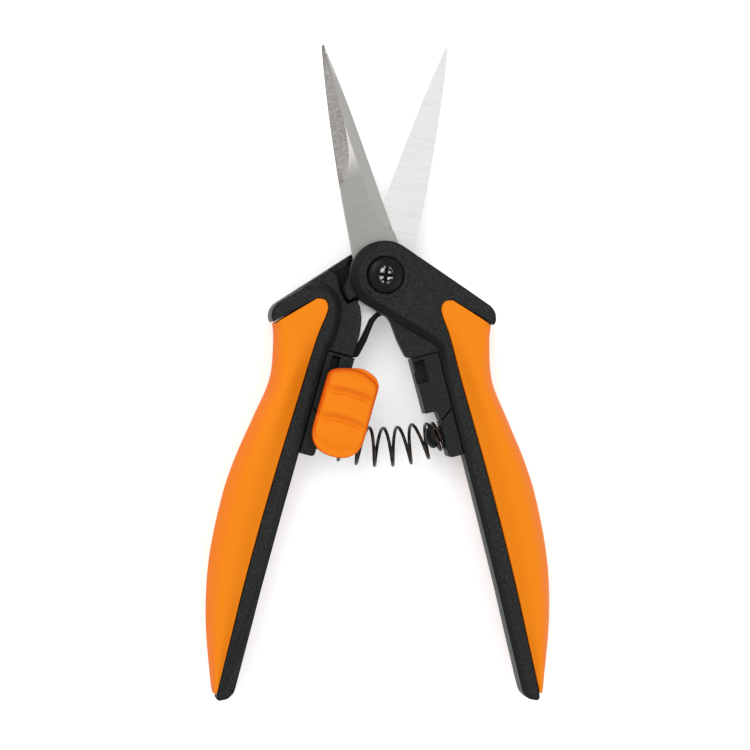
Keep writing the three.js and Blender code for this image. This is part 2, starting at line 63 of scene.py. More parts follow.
MM = 0.001
MID_HEIGHT = frame["joints"][0]["pos_m"][2] / MM
HALF_OPENING = math.radians(15)
SEAM = 0.12  # fine line left between neighbouring mouldings
HALF_SEAM = 0.15  # half the gap between the two halves of a handle

BLADE_INNER = 0.15
BLADE_OUTER = 2.15
TIP_THICKNESS = 1.0
BLADE_HUB_RADIUS = 8.0

HUB_RADIUS = 8.7
HUB_FACE = 6.6
STRIP_FACE = 4.2
WEB_FACE = 3.9
PLATE_FACE = 3.6
SLOPE_START_Y = -9.0
SLOPE_END_Y = -30.0
BAND_WIDTH = 2.1  # chamfer round the hub and along the arm's lower edge
BAND_DROP = 1.7
CROWN_HEIGHT = 7.5

BLOCK_FACE = 3.7
POST_Y = -42.9
SEAT_FACE = 4.7
POST_TIP = 0.5
SCREW_HEAD_RADIUS = 4.4
SCREW_HEAD_TOP = 7.8
HEAD_GAP = 0.28  # between the screw's head and the hub's bore
FLOOR_OVERLAP = 0.6  # how far the recess's floor runs past the head, into the hub
HEAD_RECESS_FLOOR = 5.3
BUTTON_BASE = 5.5
BUTTON_TOP = 10.2

WIRE_RADIUS = 0.43
COIL_RADIUS = 4.75
END_COIL_RADIUS = 3.5
SPRING_TURNS = 9.4
SPRING_BOW = 6.0
CLOSE_TURNS = 1.3  # the close coils at each end, and the length that they take
CLOSE_LENGTH = 1.1

# ------------ placing

LIFT = Matrix.Translation((0, 0, MID_HEIGHT))
FRONT = LIFT @ Matrix.Rotation(HALF_OPENING, 4, "Z")
REAR_UPRIGHT = LIFT @ Matrix.Rotation(-HALF_OPENING, 4, "Z")
REAR = REAR_UPRIGHT @ Matrix.Rotation(math.pi, 4, "Y")
TO_METRES = Matrix.Scale(MM, 4)


def place(name, mesh, matrix, material, body, nodes, sharp_degrees=30):
    """One finished piece, set in the frame with its material, tied to its body, with its CAD nodes hidden."""
    mesh = mesh.copy()
    mesh.name = name
    mesh.transform(TO_METRES @ matrix)
    mesh.materials.append(material)
    mesh.polygons.foreach_set("use_smooth", [True] * len(mesh.polygons))
    mesh.set_sharp_from_angle(angle=math.radians(sharp_degrees))
    piece = bpy.data.objects.new(name, mesh)
    bpy.context.scene.collection.objects.link(piece)
    if body:
        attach(piece, body)
    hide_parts(*nodes)
    return piece


def mesh_from(*builds):
    """A mesh from functions that each add a closed solid to a bmesh."""
    shape = bmesh.new()
    for build in builds:
        build(shape)
    bmesh.ops.recalc_face_normals(shape, faces=shape.faces)
    mesh = bpy.data.meshes.new("draft")
    shape.to_mesh(mesh)
    shape.free()
    return mesh


def vertex_places(mesh):
    """The x, y and z of all of a mesh's vertices."""
    places = np.empty(len(mesh.vertices) * 3)
    mesh.vertices.foreach_get("co", places)
    return places.reshape(-1, 3).T


# ------------ plane geometry


def smooth(value, start, end):
    """0 before start, 1 after end, and an even S between."""
    t = np.clip((value - start) / (end - start), 0, 1)
    return t * t * (3 - 2 * t)


def spline(points, steps):
    """Points along a smooth curve through the given ones, `steps` to each span."""
    p = np.array([points[0], *points, points[-1]], dtype=float)
    t = (np.arange(steps) / steps)[:, None]
    spans = [
        0.5 * (2 * b + (c - a) * t + (2 * a - 5 * b + 4 * c - d) * t**2 + (3 * b - a - 3 * c + d) * t**3)
        for a, b, c, d in zip(p, p[1:], p[2:], p[3:])
    ]
    return np.vstack([*spans, p[-1:]])


def arc(radius, start, end, steps, centre=(0, 0)):
    """Points round a circle, from one angle in degrees to another."""
    angles = np.radians(np.linspace(start, end, steps + 1))
    return np.column_stack([centre[0] + radius * np.cos(angles), centre[1] + radius * np.sin(angles)])


LONGEST_CUT = 0.45  # the share of a side that a rounded corner may take


def rounded(points, radius, steps=5):
    """A closed outline with each of its corners rounded off."""
    p = np.array(points, dtype=float)
    out = []
    for before, here, after in zip(np.roll(p, 1, 0), p, np.roll(p, -1, 0)):
        back, on = before - here, after - here
        back_length, on_length = np.linalg.norm(back), np.linalg.norm(on)
        reach = min(radius, back_length * LONGEST_CUT, on_length * LONGEST_CUT)
        start, end = here + back / back_length * reach, here + on / on_length * reach
        for t in np.linspace(0, 1, steps + 1):
            out.append((1 - t) ** 2 * start + 2 * t * (1 - t) * here + t**2 * end)
    return np.array(out)


def even(points, spacing, closed=True):
    """The same line with more points, at most about `spacing` apart."""
    p = np.array(points, dtype=float)
    ends = np.vstack([p, p[:1]]) if closed else p
    out = []
    for a, b in zip(ends, ends[1:]):
        length = np.linalg.norm(b - a)
        if length < 1e-6:
            continue
        parts = max(1, round(length / spacing))
        out.extend(a + (b - a) * k / parts for k in range(parts))
    if not closed:
        out.append(ends[-1])
    return np.array(out)


def distance(places, line, closed=False):
    """The distance of each place to a line of points."""
    line = np.array(line, dtype=float)
    a, b = (line, np.roll(line, -1, 0)) if closed else (line[:-1], line[1:])
    along = b - a
    best = np.full(len(places), 1e9)
    for start, span in zip(a, along):
        off = places - start
        t = np.clip(off @ span / max(span @ span, 1e-12), 0, 1)
        best = np.minimum(best, np.hypot(*(off - t[:, None] * span).T))
    return best


def inside(places, outline):
    """Whether each place is inside a closed outline."""
    x, y = places[:, 0], places[:, 1]
    hit = np.zeros(len(places), bool)
    outline = np.array(outline, dtype=float)
    for (ax, ay), (bx, by) in zip(outline, np.roll(outline, 1, 0)):
        if ay == by:
            continue
        crosses = (ay > y) != (by > y)
        hit ^= crosses & (x < (bx - ax) * (y - ay) / (by - ay) + ax)
    return hit


ROW_STEP = 0.87  # rows of a triangular grid lie this share of its spacing apart
LOOP_CLEARANCE = 0.45  # shares of the spacing that the grid keeps from loops and from lines
LINE_CLEARANCE = 0.4
NEARLY_ALL = 0.97  # an inset place this share of its reach or nearer to the loop is left out
EDGE_ROWS = (0.15, 0.5, 1.0)  # where the mesh has a row along a rounded edge


def grid_inside(loops, spacing):
    """Evenly scattered places inside the first loop, outside the others and clear of all."""
    low, high = loops[0].min(0), loops[0].max(0)
    columns = np.arange(low[0], high[0], spacing)
    rows = np.arange(low[1], high[1], spacing * ROW_STEP)
    x, y = np.meshgrid(columns, rows)
    x = x + (np.arange(len(rows)) % 2 * spacing / 2)[:, None]
    places = np.column_stack([x.ravel(), y.ravel()])
    keep = inside(places, loops[0])
    for hole in loops[1:]:
        keep &= ~inside(places, hole)
    places = places[keep]
    clear = np.ones(len(places), bool)
    for loop in loops:
        clear &= distance(places, loop, closed=True) > spacing * LOOP_CLEARANCE
    return places[clear]


def as_function(height):
    """A height as a function of place, whether it came as one or as a number."""
    return height if callable(height) else lambda places: np.full(len(places), float(height))


def quarter_round(border, radius):
    """How far a rounded edge falls away, at each distance from the border."""
    return radius * (1 - np.sqrt(1 - (1 - np.clip(border / radius, 0, 1)) ** 2))


def relief(outline, low, high, spacing=0.5, holes=(), creases=(), edge=0.0, low_edge=0.0):
    """A builder of a solid over an outline, between a lower and an upper height.

    Heights are numbers or functions of place. `holes` are outlines left open, `creases` are
    lines that the mesh follows, and the edges are the rounds along the tops of the side walls.
    """
    low, high = as_function(low), as_function(high)

    def build(shape):
        loops = [even(loop, spacing) for loop in (outline, *holes)]
        rims = [loops[0]]
        if edge:
            rims += [inset(loops[0], edge * share) for share in EDGE_ROWS]
        lines = [even(line, spacing, closed=False) for line in creases]
        free = grid_inside(loops, spacing)
        if edge:
            free = free[distance(free, loops[0], closed=True) > edge + spacing * LINE_CLEARANCE]
        for line in lines:
            free = free[distance(free, line) > spacing * LINE_CLEARANCE]
        chunks, edges, start = [], [], 0
        for loop in loops:
            count = len(loop)
            edges.extend((start + i, start + (i + 1) % count) for i in range(count))
            chunks.append(loop)
            start += count
        for line in lines:
            edges.extend((start + i, start + i + 1) for i in range(len(line) - 1))
            chunks.append(line)
            start += len(line)
        chunks.extend([*rims[1:], free])
        verts = [Vector(v) for v in np.vstack(chunks)]
        points, _, faces, _, _, _ = delaunay_2d_cdt(verts, edges, [], 0, 1e-5)
        flat = np.array([(p.x, p.y) for p in points])

        border = np.min([distance(flat, loop, closed=True) for loop in loops], axis=0)
        tops, bottoms = high(flat), low(flat)
        if edge:
            tops = tops - quarter_round(border, edge)
        if low_edge:
            bottoms = bottoms + quarter_round(border, low_edge)
        top = [shape.verts.new((x, y, z)) for (x, y), z in zip(flat, tops)]
        bottom = [shape.verts.new((x, y, z)) for (x, y), z in zip(flat, bottoms)]
        corners = np.array(faces)
        middles = flat[corners].mean(1)
        kept = inside(middles, loops[0])
        for hole in loops[1:]:
            kept &= ~inside(middles, hole)
        sides = set()
        for a, b, c in corners[kept]:
            shape.faces.new((top[a], top[b], top[c]))
            shape.faces.new((bottom[c], bottom[b], bottom[a]))
            sides.update(((a, b), (b, c), (c, a)))
        for one, two in sides:
            if (two, one) not in sides:
                shape.faces.new((top[two], top[one], bottom[one], bottom[two]))
        loose = [v for v in shape.verts if not v.link_faces]
        bmesh.ops.delete(shape, geom=loose, context="VERTS")

    return build


def inset(loop, reach):
    """The places `reach` inside a closed loop, without those that fall near another stretch."""
    loop = np.array(loop)
    along = np.roll(loop, -1, 0) - np.roll(loop, 1, 0)
    area = np.sum(loop[:, 0] * np.roll(loop[:, 1], -1) - np.roll(loop[:, 0], -1) * loop[:, 1])
    normal = np.column_stack([-along[:, 1], along[:, 0]]) * np.sign(area)
    normal /= np.linalg.norm(normal, axis=1)[:, None]
    moved = loop + normal * reach
    return moved[distance(moved, loop, closed=True) > reach * NEARLY_ALL]


def join_rings(shape, rings):
    """Four-sided faces between each closed ring and the next, and a cap on each end."""
    for one, two in zip(rings, rings[1:]):
        for i in range(len(one)):
            j = (i + 1) % len(one)
            shape.faces.new((one[i], one[j], two[j], two[i]))
    shape.faces.new(rings[0])
    shape.faces.new(rings[-1])


def mirrored(mesh, axis):
    """The mesh turned over to the other side of the plane across an axis."""
    mesh.transform(Matrix.Scale(-1, 4, axis))
    mesh.flip_normals()
    return mesh


def turned(profile, steps):
    """A builder of a piece turned about Z from its [radius, height] profile, axis to axis."""

    def build(shape):
        angles = [2 * math.pi * k / steps for k in range(steps)]
        directions = [(math.cos(a), math.sin(a)) for a in angles]
        rings = []
        for radius, height in profile:
            around = directions if radius > 1e-6 else [(0, 0)]
            rings.append([shape.verts.new((radius * x, radius * y, height)) for x, y in around])
        for low, high in zip(rings, rings[1:]):
            for k in range(steps):
                low_pair = (low[k % len(low)], low[(k + 1) % len(low)])
                high_pair = (high[(k + 1) % len(high)], high[k % len(high)])
                corners = list(dict.fromkeys(low_pair + high_pair))
                if len(corners) > 2:
                    shape.faces.new(corners)

    return build


# ------------ shared outlines

BLADE_SPINE = [
    (-6.6, 4.6), (-6.0, 10.9), (-5.35, 21.3), (-4.43, 31.5), (-3.35, 41.7), (-2.0, 51.9), (-0.75, 59.7),
    (-0.5, 60.05),
]
BLADE_EDGE = [(-0.1, 60.15), (0.12, 59.6), (2.05, 45.5), (3.16, 34.7), (4.12, 24.0), (5.0, 14.5), (5.9, 5.4)]
TANG = [
    (9.5, -3.0), (13.0, -9.0), (16.4, -14.0), (16.6, -38.0), (12.7, -38.0), (12.7, -21.4),
    (1.2, -21.4), (0.9, -17.0), (-0.2, -11.5), (-1.3, -9.1),
]
HANDLE_OUTER = [
    (23.6, -19.4), (22.2, -23.6), (20.6, -33.0), (22.1, -43.9), (23.7, -54.8),
    (24.2, -65.4), (23.1, -80.9), (19.75, -95.7), (14.5, -110.0), (13.1, -112.9),
]
PANEL_INNER = [
    (14.9, -10.3), (13.2, -10.1), (12.0, -11.1), (11.6, -13.2), (12.3, -20.0), (12.6, -33.0), (13.1, -52.0),
    (13.3, -68.0), (13.2, -84.0), (12.8, -98.0), (12.4, -112.4),
]
ARM_CORNER = [(24.2, -13.9), (25.1, -15.9), (24.9, -17.9), (23.75, -19.3)]
HANDLE_END = [(12.2, -113.9), (11.4, -114.3), (9.3, -113.3), (8.2, -111.4)]
HANDLE_INNER = [(8.6, -85.0), (8.7, -65.0), (8.6, -26.0), (8.6, -22.2)]
ARM_UNDERSIDE = [(8.0, -20.6), (6.6, -18.9)]
RAISED_BORDER = [
    (8.6, -22.0), (7.8, -20.6), (7.6, -18.0), (7.7, -14.0), (8.3, -10.9), (9.6, -8.6),
    (11.4, -7.0), (13.6, -6.2), (15.8, -6.4), (17.7, -7.2),
]

outer_side = spline(HANDLE_OUTER, 8)
panel_side = spline(PANEL_INNER, 8)
blade_edge = spline(BLADE_EDGE, 6)
blade_spine = spline(BLADE_SPINE, 6)
hub_round = arc(HUB_RADIUS, 225, 41, 48)


def face_height(y):
    """Height of a shell's face above the blade plane, at a place along the snips."""
    share = np.clip((SLOPE_START_Y - y) / (SLOPE_START_Y - SLOPE_END_Y), 0, 1)
    share = share * share * (3 - 2 * share) * 0.4 + share * 0.6  # mostly straight, eased at both ends
    return HUB_FACE + (STRIP_FACE - HUB_FACE) * share


def panel_border():
    """The black side of the line between shell and grip, from the hub to the handle's end."""
    side = panel_side.copy()
    side[:, 0] -= SEAM
    side[0] += (SEAM, SEAM)
    return side


# ------------ blade

SPINE_GRIND = [
    (-4.9, 24.5), (-3.4, 26.1), (-2.3, 27.9), (-0.95, 31.5), (-0.2, 37.0), (0.0, 44.4), (0.0, 52.3),
    (-0.1, 58.0),
]
EDGE_GRIND = [
    (5.25, 10.0), (3.6, 11.9), (2.3, 15.0), (1.45, 20.0), (0.95, 27.0), (0.4, 33.0), (0.08, 39.0),
    (0.05, 45.0), (-0.05, 58.0),
]
HOLLOW_START_Y = SPINE_GRIND[0][1]
BEVEL_START_Y = EDGE_GRIND[0][1]
HOLLOW_DEPTH = 0.5  # shares of the blade's thickness that are ground away
BEVEL_DEPTH = 0.82
NARROWEST_GRIND = 0.1  # keeps the grinds' slopes finite where they run out
TAPER_START_Y = 6  # from here to the tip the blade grows thinner
TAPER_LENGTH = 54
PIVOT_HOLE_RADIUS = 3.3
PIN_PLACE = (14.6, -32.0)
PIN_HOLE_RADIUS = 1.5

hollow_edge = spline(SPINE_GRIND, 6)
bevel_edge = spline(EDGE_GRIND, 6)
grind_creases = (hollow_edge[1:-7], bevel_edge[1:-14])  # they stop short of the tip, where the grinds meet
pivot_hole = arc(PIVOT_HOLE_RADIUS, 0, 351, 39)


def across_at(line, y):
    """The x of a rising line at each y."""
    line = np.array(line)
    return np.interp(y, line[:, 1], line[:, 0])


def blade_face(places):
    """The outer face: it thins to the tip, with a hollow grind at the spine and a bevel at the edge."""
    x, y = places.T
    taper = np.clip((y - TAPER_START_Y) / TAPER_LENGTH, 0, 1)
    base = BLADE_OUTER - (BLADE_OUTER - BLADE_INNER - TIP_THICKNESS) * taper
    thickness = base - BLADE_INNER
    spine, edge = across_at(blade_spine, y), across_at(blade_edge[::-1], y)
    hollow_line, bevel_line = across_at(hollow_edge, y), across_at(bevel_edge, y)
    hollow_width = np.maximum(hollow_line - spine, NARROWEST_GRIND)
    bevel_width = np.maximum(edge - bevel_line, NARROWEST_GRIND)
    hollow = np.clip((hollow_line - x) / hollow_width, 0, 1) * (y > HOLLOW_START_Y)
    bevel = np.clip((x - bevel_line) / bevel_width, 0, 1) * (y > BEVEL_START_Y)
    return base - thickness * np.maximum(HOLLOW_DEPTH * hollow**1.25, BEVEL_DEPTH * bevel)


def blade_outline():
    """Spine, tip and edge, then the hub's two round stretches with the tang between them."""
    return np.vstack([
        blade_spine, blade_edge, arc(BLADE_HUB_RADIUS, 36, 4, 12), TANG, arc(BLADE_HUB_RADIUS, 248, 152, 24),
    ])


def blade_mesh():
    pin_hole = arc(PIN_HOLE_RADIUS, 0, 345, 23, PIN_PLACE)
    holes = (pivot_hole, pin_hole)
    return mesh_from(relief(blade_outline(), BLADE_INNER, blade_face, 0.45, holes, grind_creases, edge=0.08))


# ------------ grip

GRIP_STATIONS = 150
GRIP_STEPS = 26  # across the front of one section
NEAREST_SHARE = 0.015  # of the way across, for the first place past the small round at the black strip
STRIP_ROUND = 0.25
CROWN_SHARES = [0, 0.12, 0.25, 0.5, 0.75, 0.9, 1]
CROWN_HEIGHTS = [6.65, 7.1, 7.4, CROWN_HEIGHT, 7.1, 6.0, 4.45]


def at_share(line, share):
    """The place at a share of a line's length."""
    steps = np.concatenate([[0], np.cumsum(np.linalg.norm(np.diff(line, axis=0), axis=1))])
    where = share * steps[-1]
    return np.array([np.interp(where, steps, line[:, 0]), np.interp(where, steps, line[:, 1])])


def grip_height(border, crown, across, squareness):
    """Half thickness of the grip, from its inner border (0) to its outer side (1)."""
    bulge = border + (crown - border) * math.sin(math.pi * min(across, 1) ** 1.2)
    return bulge * math.sqrt(max(1 - across**squareness, 0))


def grip_ring(share):
    """One section across the grip, squarer near the hub than at the handle's end."""
    inner, outer = at_share(panel_side, share), at_share(outer_side, share)
    crown = np.interp(share, CROWN_SHARES, CROWN_HEIGHTS)
    border = float(face_height(inner[1]))
    squareness = 9 - 5 * float(smooth(share, 0, 0.18))
    ring = [(*inner, border - STRIP_ROUND)]
    for i in range(GRIP_STEPS + 1):
        across = max(1 - (1 - i / GRIP_STEPS) ** 1.7, NEAREST_SHARE)
        ring.append((*(inner + (outer - inner) * across), grip_height(border, crown, across, squareness)))
    back = [(x, y, -z) for x, y, z in reversed(ring[:-1])]
    return ring + back


def grip_solid(shape):
    """Sections from the hub to the handle's end, closer together near the hub."""
    shares = [(k / GRIP_STATIONS) ** 1.35 for k in range(GRIP_STATIONS + 1)]
    join_rings(shape, [[shape.verts.new(p) for p in grip_ring(share)] for share in shares])


# ------------ handle shells

HANDLE_BAND_WIDTH = 1.7  # the band is narrower and shallower in the handle than round the hub
HANDLE_BAND_DROP = 0.85
HUB_RING_RADII = (5.85, 6.15)
HUB_RING_HEIGHT = 0.28
UPPER_WIDTH = 0.9
UPPER_DROP = 0.7
BORDER_WIDTH = 1.8  # chamfer of the inner shell's raised border, in the handle
BORDER_DROP = 0.7
LUG_FACE = 4.4
SHELL_EDGE = 0.22  # round along the shells' top edges

TANG_RIM = [
    (-3.4, -8.2), (-2.4, -9.2), (-1.8, -10.5), (-1.2, -12.0), (-0.9, -14.5), (-0.65, -17.0), (-0.15, -19.3),
    (0.25, -21.1), (0.6, -21.6), (1.5, -22.05),
]


# Each rounded stretch is made with a helper corner at both ends. The slices cut those off again,
# with the start of the rounds beside them.


def handle_loop(front_edge):
    """A shell's outline in the handle, joined to its own front edge near the hub."""
    corner = rounded([(20.0, -9.2), *ARM_CORNER, (20.0, -15.5)], 1.0, 3)[6:-6]
    return np.vstack([corner, panel_border(), rounded_end(), HANDLE_INNER, front_edge])


def rounded_end():
    """The handle's end, with its corners rounded."""
    return rounded([(12.3, -110.0), *HANDLE_END, (8.3, -105.0)], 0.6, 3)[5:-4]


def arm_loop():
    """The outer shell's outline: the handle's, the arm's underside and the hub."""
    return handle_loop(np.vstack([ARM_UNDERSIDE, hub_round]))


def band_line():
    """The lower edge of the arm, from over the hub to the handle's end."""
    over_hub = arc(HUB_RADIUS, 100, 225, 40)
    return np.vstack([over_hub, ARM_UNDERSIDE[::-1], HANDLE_INNER[::-1], HANDLE_END[::-1]])


def upper_rounding(places, line):
    """How far a shell's face falls away along its upper edge."""
    return UPPER_DROP * np.clip(1 - distance(places, line) / UPPER_WIDTH, 0, 1) ** 2


def arm_face(places):
    """The outer shell's face: a slope with a wide chamfer along its lower edge and a faint ring."""
    x, y = places.T
    base = face_height(y)
    lower = distance(places, band_line())
    near_hub = smooth(y, SLOPE_END_Y, -16)
    width = HANDLE_BAND_WIDTH + (BAND_WIDTH - HANDLE_BAND_WIDTH) * near_hub
    drop = HANDLE_BAND_DROP + (BAND_DROP - HANDLE_BAND_DROP) * near_hub
    chamfer = drop * np.clip(1 - lower / width, 0, 1) ** 1.15
    rounding = upper_rounding(places, np.vstack([arc(HUB_RADIUS, 100, 41, 20), ARM_CORNER[:3]]))
    ring = HUB_RING_HEIGHT * (1 - smooth(np.hypot(x, y), *HUB_RING_RADII))
    return base - np.maximum(chamfer, rounding) + ring


def over_blade(places):
    """The underside of the outer shell: clear of the blade and its tang, else at the seam."""
    covered = inside(places, blade_outline()) | (np.hypot(*places.T) < HUB_RADIUS + 0.5)
    return np.where(covered, BLADE_OUTER + SEAM, HALF_SEAM)


def outer_shell_mesh():
    """The arm with its hub, the floor under the screw's head, the web beside the tang, and the lug."""
    bore = arc(SCREW_HEAD_RADIUS + HEAD_GAP, 0, 354, 59)
    recess = arc(SCREW_HEAD_RADIUS + FLOOR_OVERLAP, 0, 354, 59)
    under_arm = np.array(ARM_UNDERSIDE[::-1]) + (1.5, 1.5)
    crease = np.vstack([arc(HUB_RADIUS - BAND_WIDTH, 118, 225, 30), under_arm])
    arm = relief(arm_loop(), over_blade, arm_face, 0.42, (bore,), (crease,), edge=SHELL_EDGE)
    floor = relief(recess, BLADE_OUTER + SEAM, HEAD_RECESS_FLOOR, 0.6, (pivot_hole,))
    rim_line = np.array([(-1.55, -9.3), (-0.45, -11.6), (0.65, -17.0), (0.95, -21.5)])
    web_loop = np.vstack([TANG_RIM, [(9.0, -22.05), (9.0, -18.5), (3.5, -12.5), (-1.5, -7.5)]])
    web = relief(web_loop, over_blade, WEB_FACE, 0.35, (), (rim_line,), edge=0.3)
    lug_loop = rounded([(-7.2, 3.2), (-10.9, -1.0), (-10.3, -4.1), (-7.0, -3.0)], 0.5)
    lug = relief(lug_loop, 0.3, LUG_FACE, 0.4, edge=0.3)
    return mesh_from(arm, floor, web, lug)


SKIN = (0.01, 0.09)  # a thin black skin of painted shade, hiding parts of the tang between the halves
RECESS_FLOOR = np.vstack([arc(8.45, -62, 4, 22), [(14.4, -3.6), (16.5, -7.0), (12.0, -9.0), (6.5, -12.0)]])
RIM_SKIN = [
    (-2.6, -8.75), (-1.95, -8.85), (-0.9, -9.5), (0.3, -11.7), (0.7, -14.5), (1.15, -17.0), (1.7, -18.6),
    (2.4, -21.9), (1.3, -21.9), (0.45, -21.1), (0.05, -19.3), (-0.45, -17.0), (-0.7, -14.5), (-1.0, -12.0),
    (-1.6, -10.5),
]


def raised_face(places):
    """The inner shell's border: the same slope as the outer shell's, chamfered to the plate."""
    y = places[:, 1]
    border = np.vstack([HANDLE_END[::-1], HANDLE_INNER[:-1], RAISED_BORDER])
    near_top = smooth(y, SLOPE_END_Y, -14)
    width = BORDER_WIDTH + 0.1 * near_top
    drop = BORDER_DROP + 1.0 * near_top
    chamfer = drop * np.clip(1 - distance(places, border) / width, 0, 1) ** 1.3
    rounding = upper_rounding(places, [(17.0, -5.8), *ARM_CORNER[:3]])
    return face_height(y) - np.maximum(chamfer, rounding)


def inner_shell_mesh():
    """The raised border, the recessed plate with the stop's nose, and the two thin skins of painted shade."""
    raised = relief(handle_loop(RAISED_BORDER[1:]), HALF_SEAM, raised_face, 0.42, edge=SHELL_EDGE)
    recess = arc(11.8, -17, -54, 16)
    nose = [(5.1, -7.7), (3.7, -9.2), (2.5, -12.2), (1.95, -15.5), (1.9, -17.6), (2.2, -22.0)]
    nose_side = np.vstack([[(5.1, -7.7)], spline(nose[1:], 4)])
    under_border = [
        (8.9, -22.0), (8.2, -20.0), (8.1, -14.0), (9.2, -10.4), (11.6, -7.6), (15.0, -6.9), (19.3, -8.6),
        (17.0, -6.0), (13.9, -2.6),
    ]
    plate_loop = np.vstack([recess, nose_side, under_border])
    plate = relief(plate_loop, HALF_SEAM, PLATE_FACE, 0.4, edge=0.25)
    # the two skins are painted shade: black sheets where the recess and the gap by the tang lie in shadow
    recess_floor = relief(RECESS_FLOOR, *SKIN, 0.6)
    rim = relief(RIM_SKIN, *SKIN, 0.6)
    return mirrored(mesh_from(raised, plate, recess_floor, rim), (0, 0, 1))


# ------------ blocks, seats and posts

BLOCK_LOOP = [
    (1.5, -22.25), (8.5, -22.25), (8.5, -36.6), (4.95, -39.1), (4.65, -37.1), (4.2, -36.6), (1.65, -36.5),
]
BLOCK_EDGE = 0.25
CUT_EDGE = 0.15  # sharper where a pocket or track is cut in the face
POCKET_FLOOR = 1.2
TRACK_FLOOR = 0.2
LIP_UNDERSIDE = 2.7
BALL_RADIUS = 2.8
BALL_HALF_LENGTH = 1.6
NECK_RADIUS = 1.6
STEM_RADIUS = 2.5


def catch_block_mesh():
    """Two layers: a whole lower one, and an upper one with the bent pocket cut out of it."""
    pocket = [(1.58, -28.9), (4.5, -28.9), (4.5, -23.1), (2.1, -23.1), (2.1, -25.9), (1.55, -25.9)]
    lower = relief(BLOCK_LOOP, -BLOCK_FACE, POCKET_FLOOR, 0.5, low_edge=BLOCK_EDGE)
    upper = relief([*BLOCK_LOOP, *pocket], POCKET_FLOOR, BLOCK_FACE, 0.4, edge=CUT_EDGE)
    return mesh_from(lower, upper)


def lock_rail_mesh():
    """The same block mirrored, with the T-shaped track open to the front."""
    track = [(4.9, -22.9), (7.1, -22.9), (7.1, -36.0), (4.9, -36.0)]
    wide = [(4.3, -22.9), (7.7, -22.9), (7.7, -36.0), (4.3, -36.0)]
    lower = relief(BLOCK_LOOP, -BLOCK_FACE, TRACK_FLOOR, 0.5, low_edge=BLOCK_EDGE)
    walls = relief(BLOCK_LOOP, TRACK_FLOOR, LIP_UNDERSIDE, 0.5, (wide,))
    lips = relief(BLOCK_LOOP, LIP_UNDERSIDE, BLOCK_FACE, 0.5, (track,), edge=CUT_EDGE)
    return mirrored(mesh_from(lower, walls, lips), (1, 0, 0))


def seat_mesh():
    """The block below, with a rounded lower corner."""
    corner = arc(1.0, -90, -170, 6, (5.7, -47.9))
    loop = [(4.8, -39.55), (8.5, -36.95), (8.5, -48.9), *corner, (SEAT_FACE, -46.6)]
    return mesh_from(relief(loop, -BLOCK_FACE, BLOCK_FACE, 0.5, edge=BLOCK_EDGE, low_edge=BLOCK_EDGE))


def post_mesh():
    """Ball nose, neck and stem, turned about its own axis along X."""
    angles = np.linspace(0, 2.75, 22)
    nose = [(BALL_RADIUS * math.sin(a), POST_TIP + BALL_HALF_LENGTH * (1 - math.cos(a))) for a in angles]
    foot = SEAT_FACE - 0.02
    neck = [(NECK_RADIUS, 3.5), (NECK_RADIUS, SEAT_FACE - 0.35)]
    stem = [(STEM_RADIUS, SEAT_FACE - 0.3), (STEM_RADIUS, foot), (0, foot)]
    mesh = mesh_from(turned([*nose, *neck, *stem], 48))
    mesh.transform(Matrix.Translation((0, POST_Y, 0)) @ Matrix.Rotation(math.pi / 2, 4, "Y"))
    return mesh


# ------------ pivot hardware

CROSS_TURN = math.radians(6)
CROSS_DEPTH = 1.5
DISH_DEPTH = 0.3
DOME_DROP = 0.62
FLAT_RADIUS = 2.2  # the dome's flat middle, and the width of the slope round it
SHANK_RADIUS = 1.9
SHANK_ENDS = (-7.0, 5.62)
HEAD_BASE = 5.6
NUT_RADIUS = 4.4
NUT_ENDS = (-MID_HEIGHT, -6.45)


def cross_places(x, y):
    """How far along and across the nearer arm of the screw's cross each place is."""
    u = x * math.cos(CROSS_TURN) - y * math.sin(CROSS_TURN)
    v = x * math.sin(CROSS_TURN) + y * math.cos(CROSS_TURN)
    return np.maximum(abs(u), abs(v)), np.minimum(abs(u), abs(v))


def screw_face(places):
    """A shallow dome with a dished cross recess whose arms grow shallow towards their ends."""
    x, y = places.T
    radius = np.hypot(x, y)
    dome = SCREW_HEAD_TOP - DOME_DROP * np.clip((radius - FLAT_RADIUS) / FLAT_RADIUS, 0, 1) ** 2.2
    along, across = cross_places(x, y)
    arm = (1 - smooth(across, 0.26, 0.40)) * (1 - smooth(along, 1.25, 1.6))
    core = 1 - smooth(radius, 0.5, 0.75)
    dish = DISH_DEPTH * (1 - smooth(radius, 1.2, 1.95))
    return dome - dish - CROSS_DEPTH * np.maximum(arm, core)


def screw_mesh():
    """Head and shank, with an attribute for how bare the metal is round the cross."""
    head = relief(arc(SCREW_HEAD_RADIUS, 0, 356.25, 95), HEAD_BASE, screw_face, 0.13, edge=0.2)
    low, high = SHANK_ENDS
    shank = turned([(0, low), (SHANK_RADIUS, low), (SHANK_RADIUS, high), (0, high)], 32)
    mesh = mesh_from(head, shank)
    x, y, z = vertex_places(mesh)
    across = cross_places(x, y)[1]
    radius = np.hypot(1.3 * x, y)
    round_cross = smooth(radius, 0.55, 0.8) * (1 - smooth(radius, 1.8, 2.5))
    bare = mesh.attributes.new("bare", "FLOAT", "POINT")
    bare.data.foreach_set("value", round_cross * smooth(across, 0.36, 0.5) * (z > 7.0))
    return mesh


def nut_mesh():
    """A blind hexagon nut with chamfered corners and a faint turned ring on its flat back."""
    low, high = NUT_ENDS
    hexagon = arc(NUT_RADIUS, 0, 300, 5)

    def back(places):
        radius = np.hypot(*places.T)
        ring = 0.08 * (smooth(radius, 2.6, 2.7) - smooth(radius, 2.9, 3.0))
        return low + 0.45 * np.clip((radius - 3.75) / 0.65, 0, 1) + ring

    return mesh_from(relief(rounded(hexagon, 0.25, 3), back, high, 0.25))


# ------------ lock

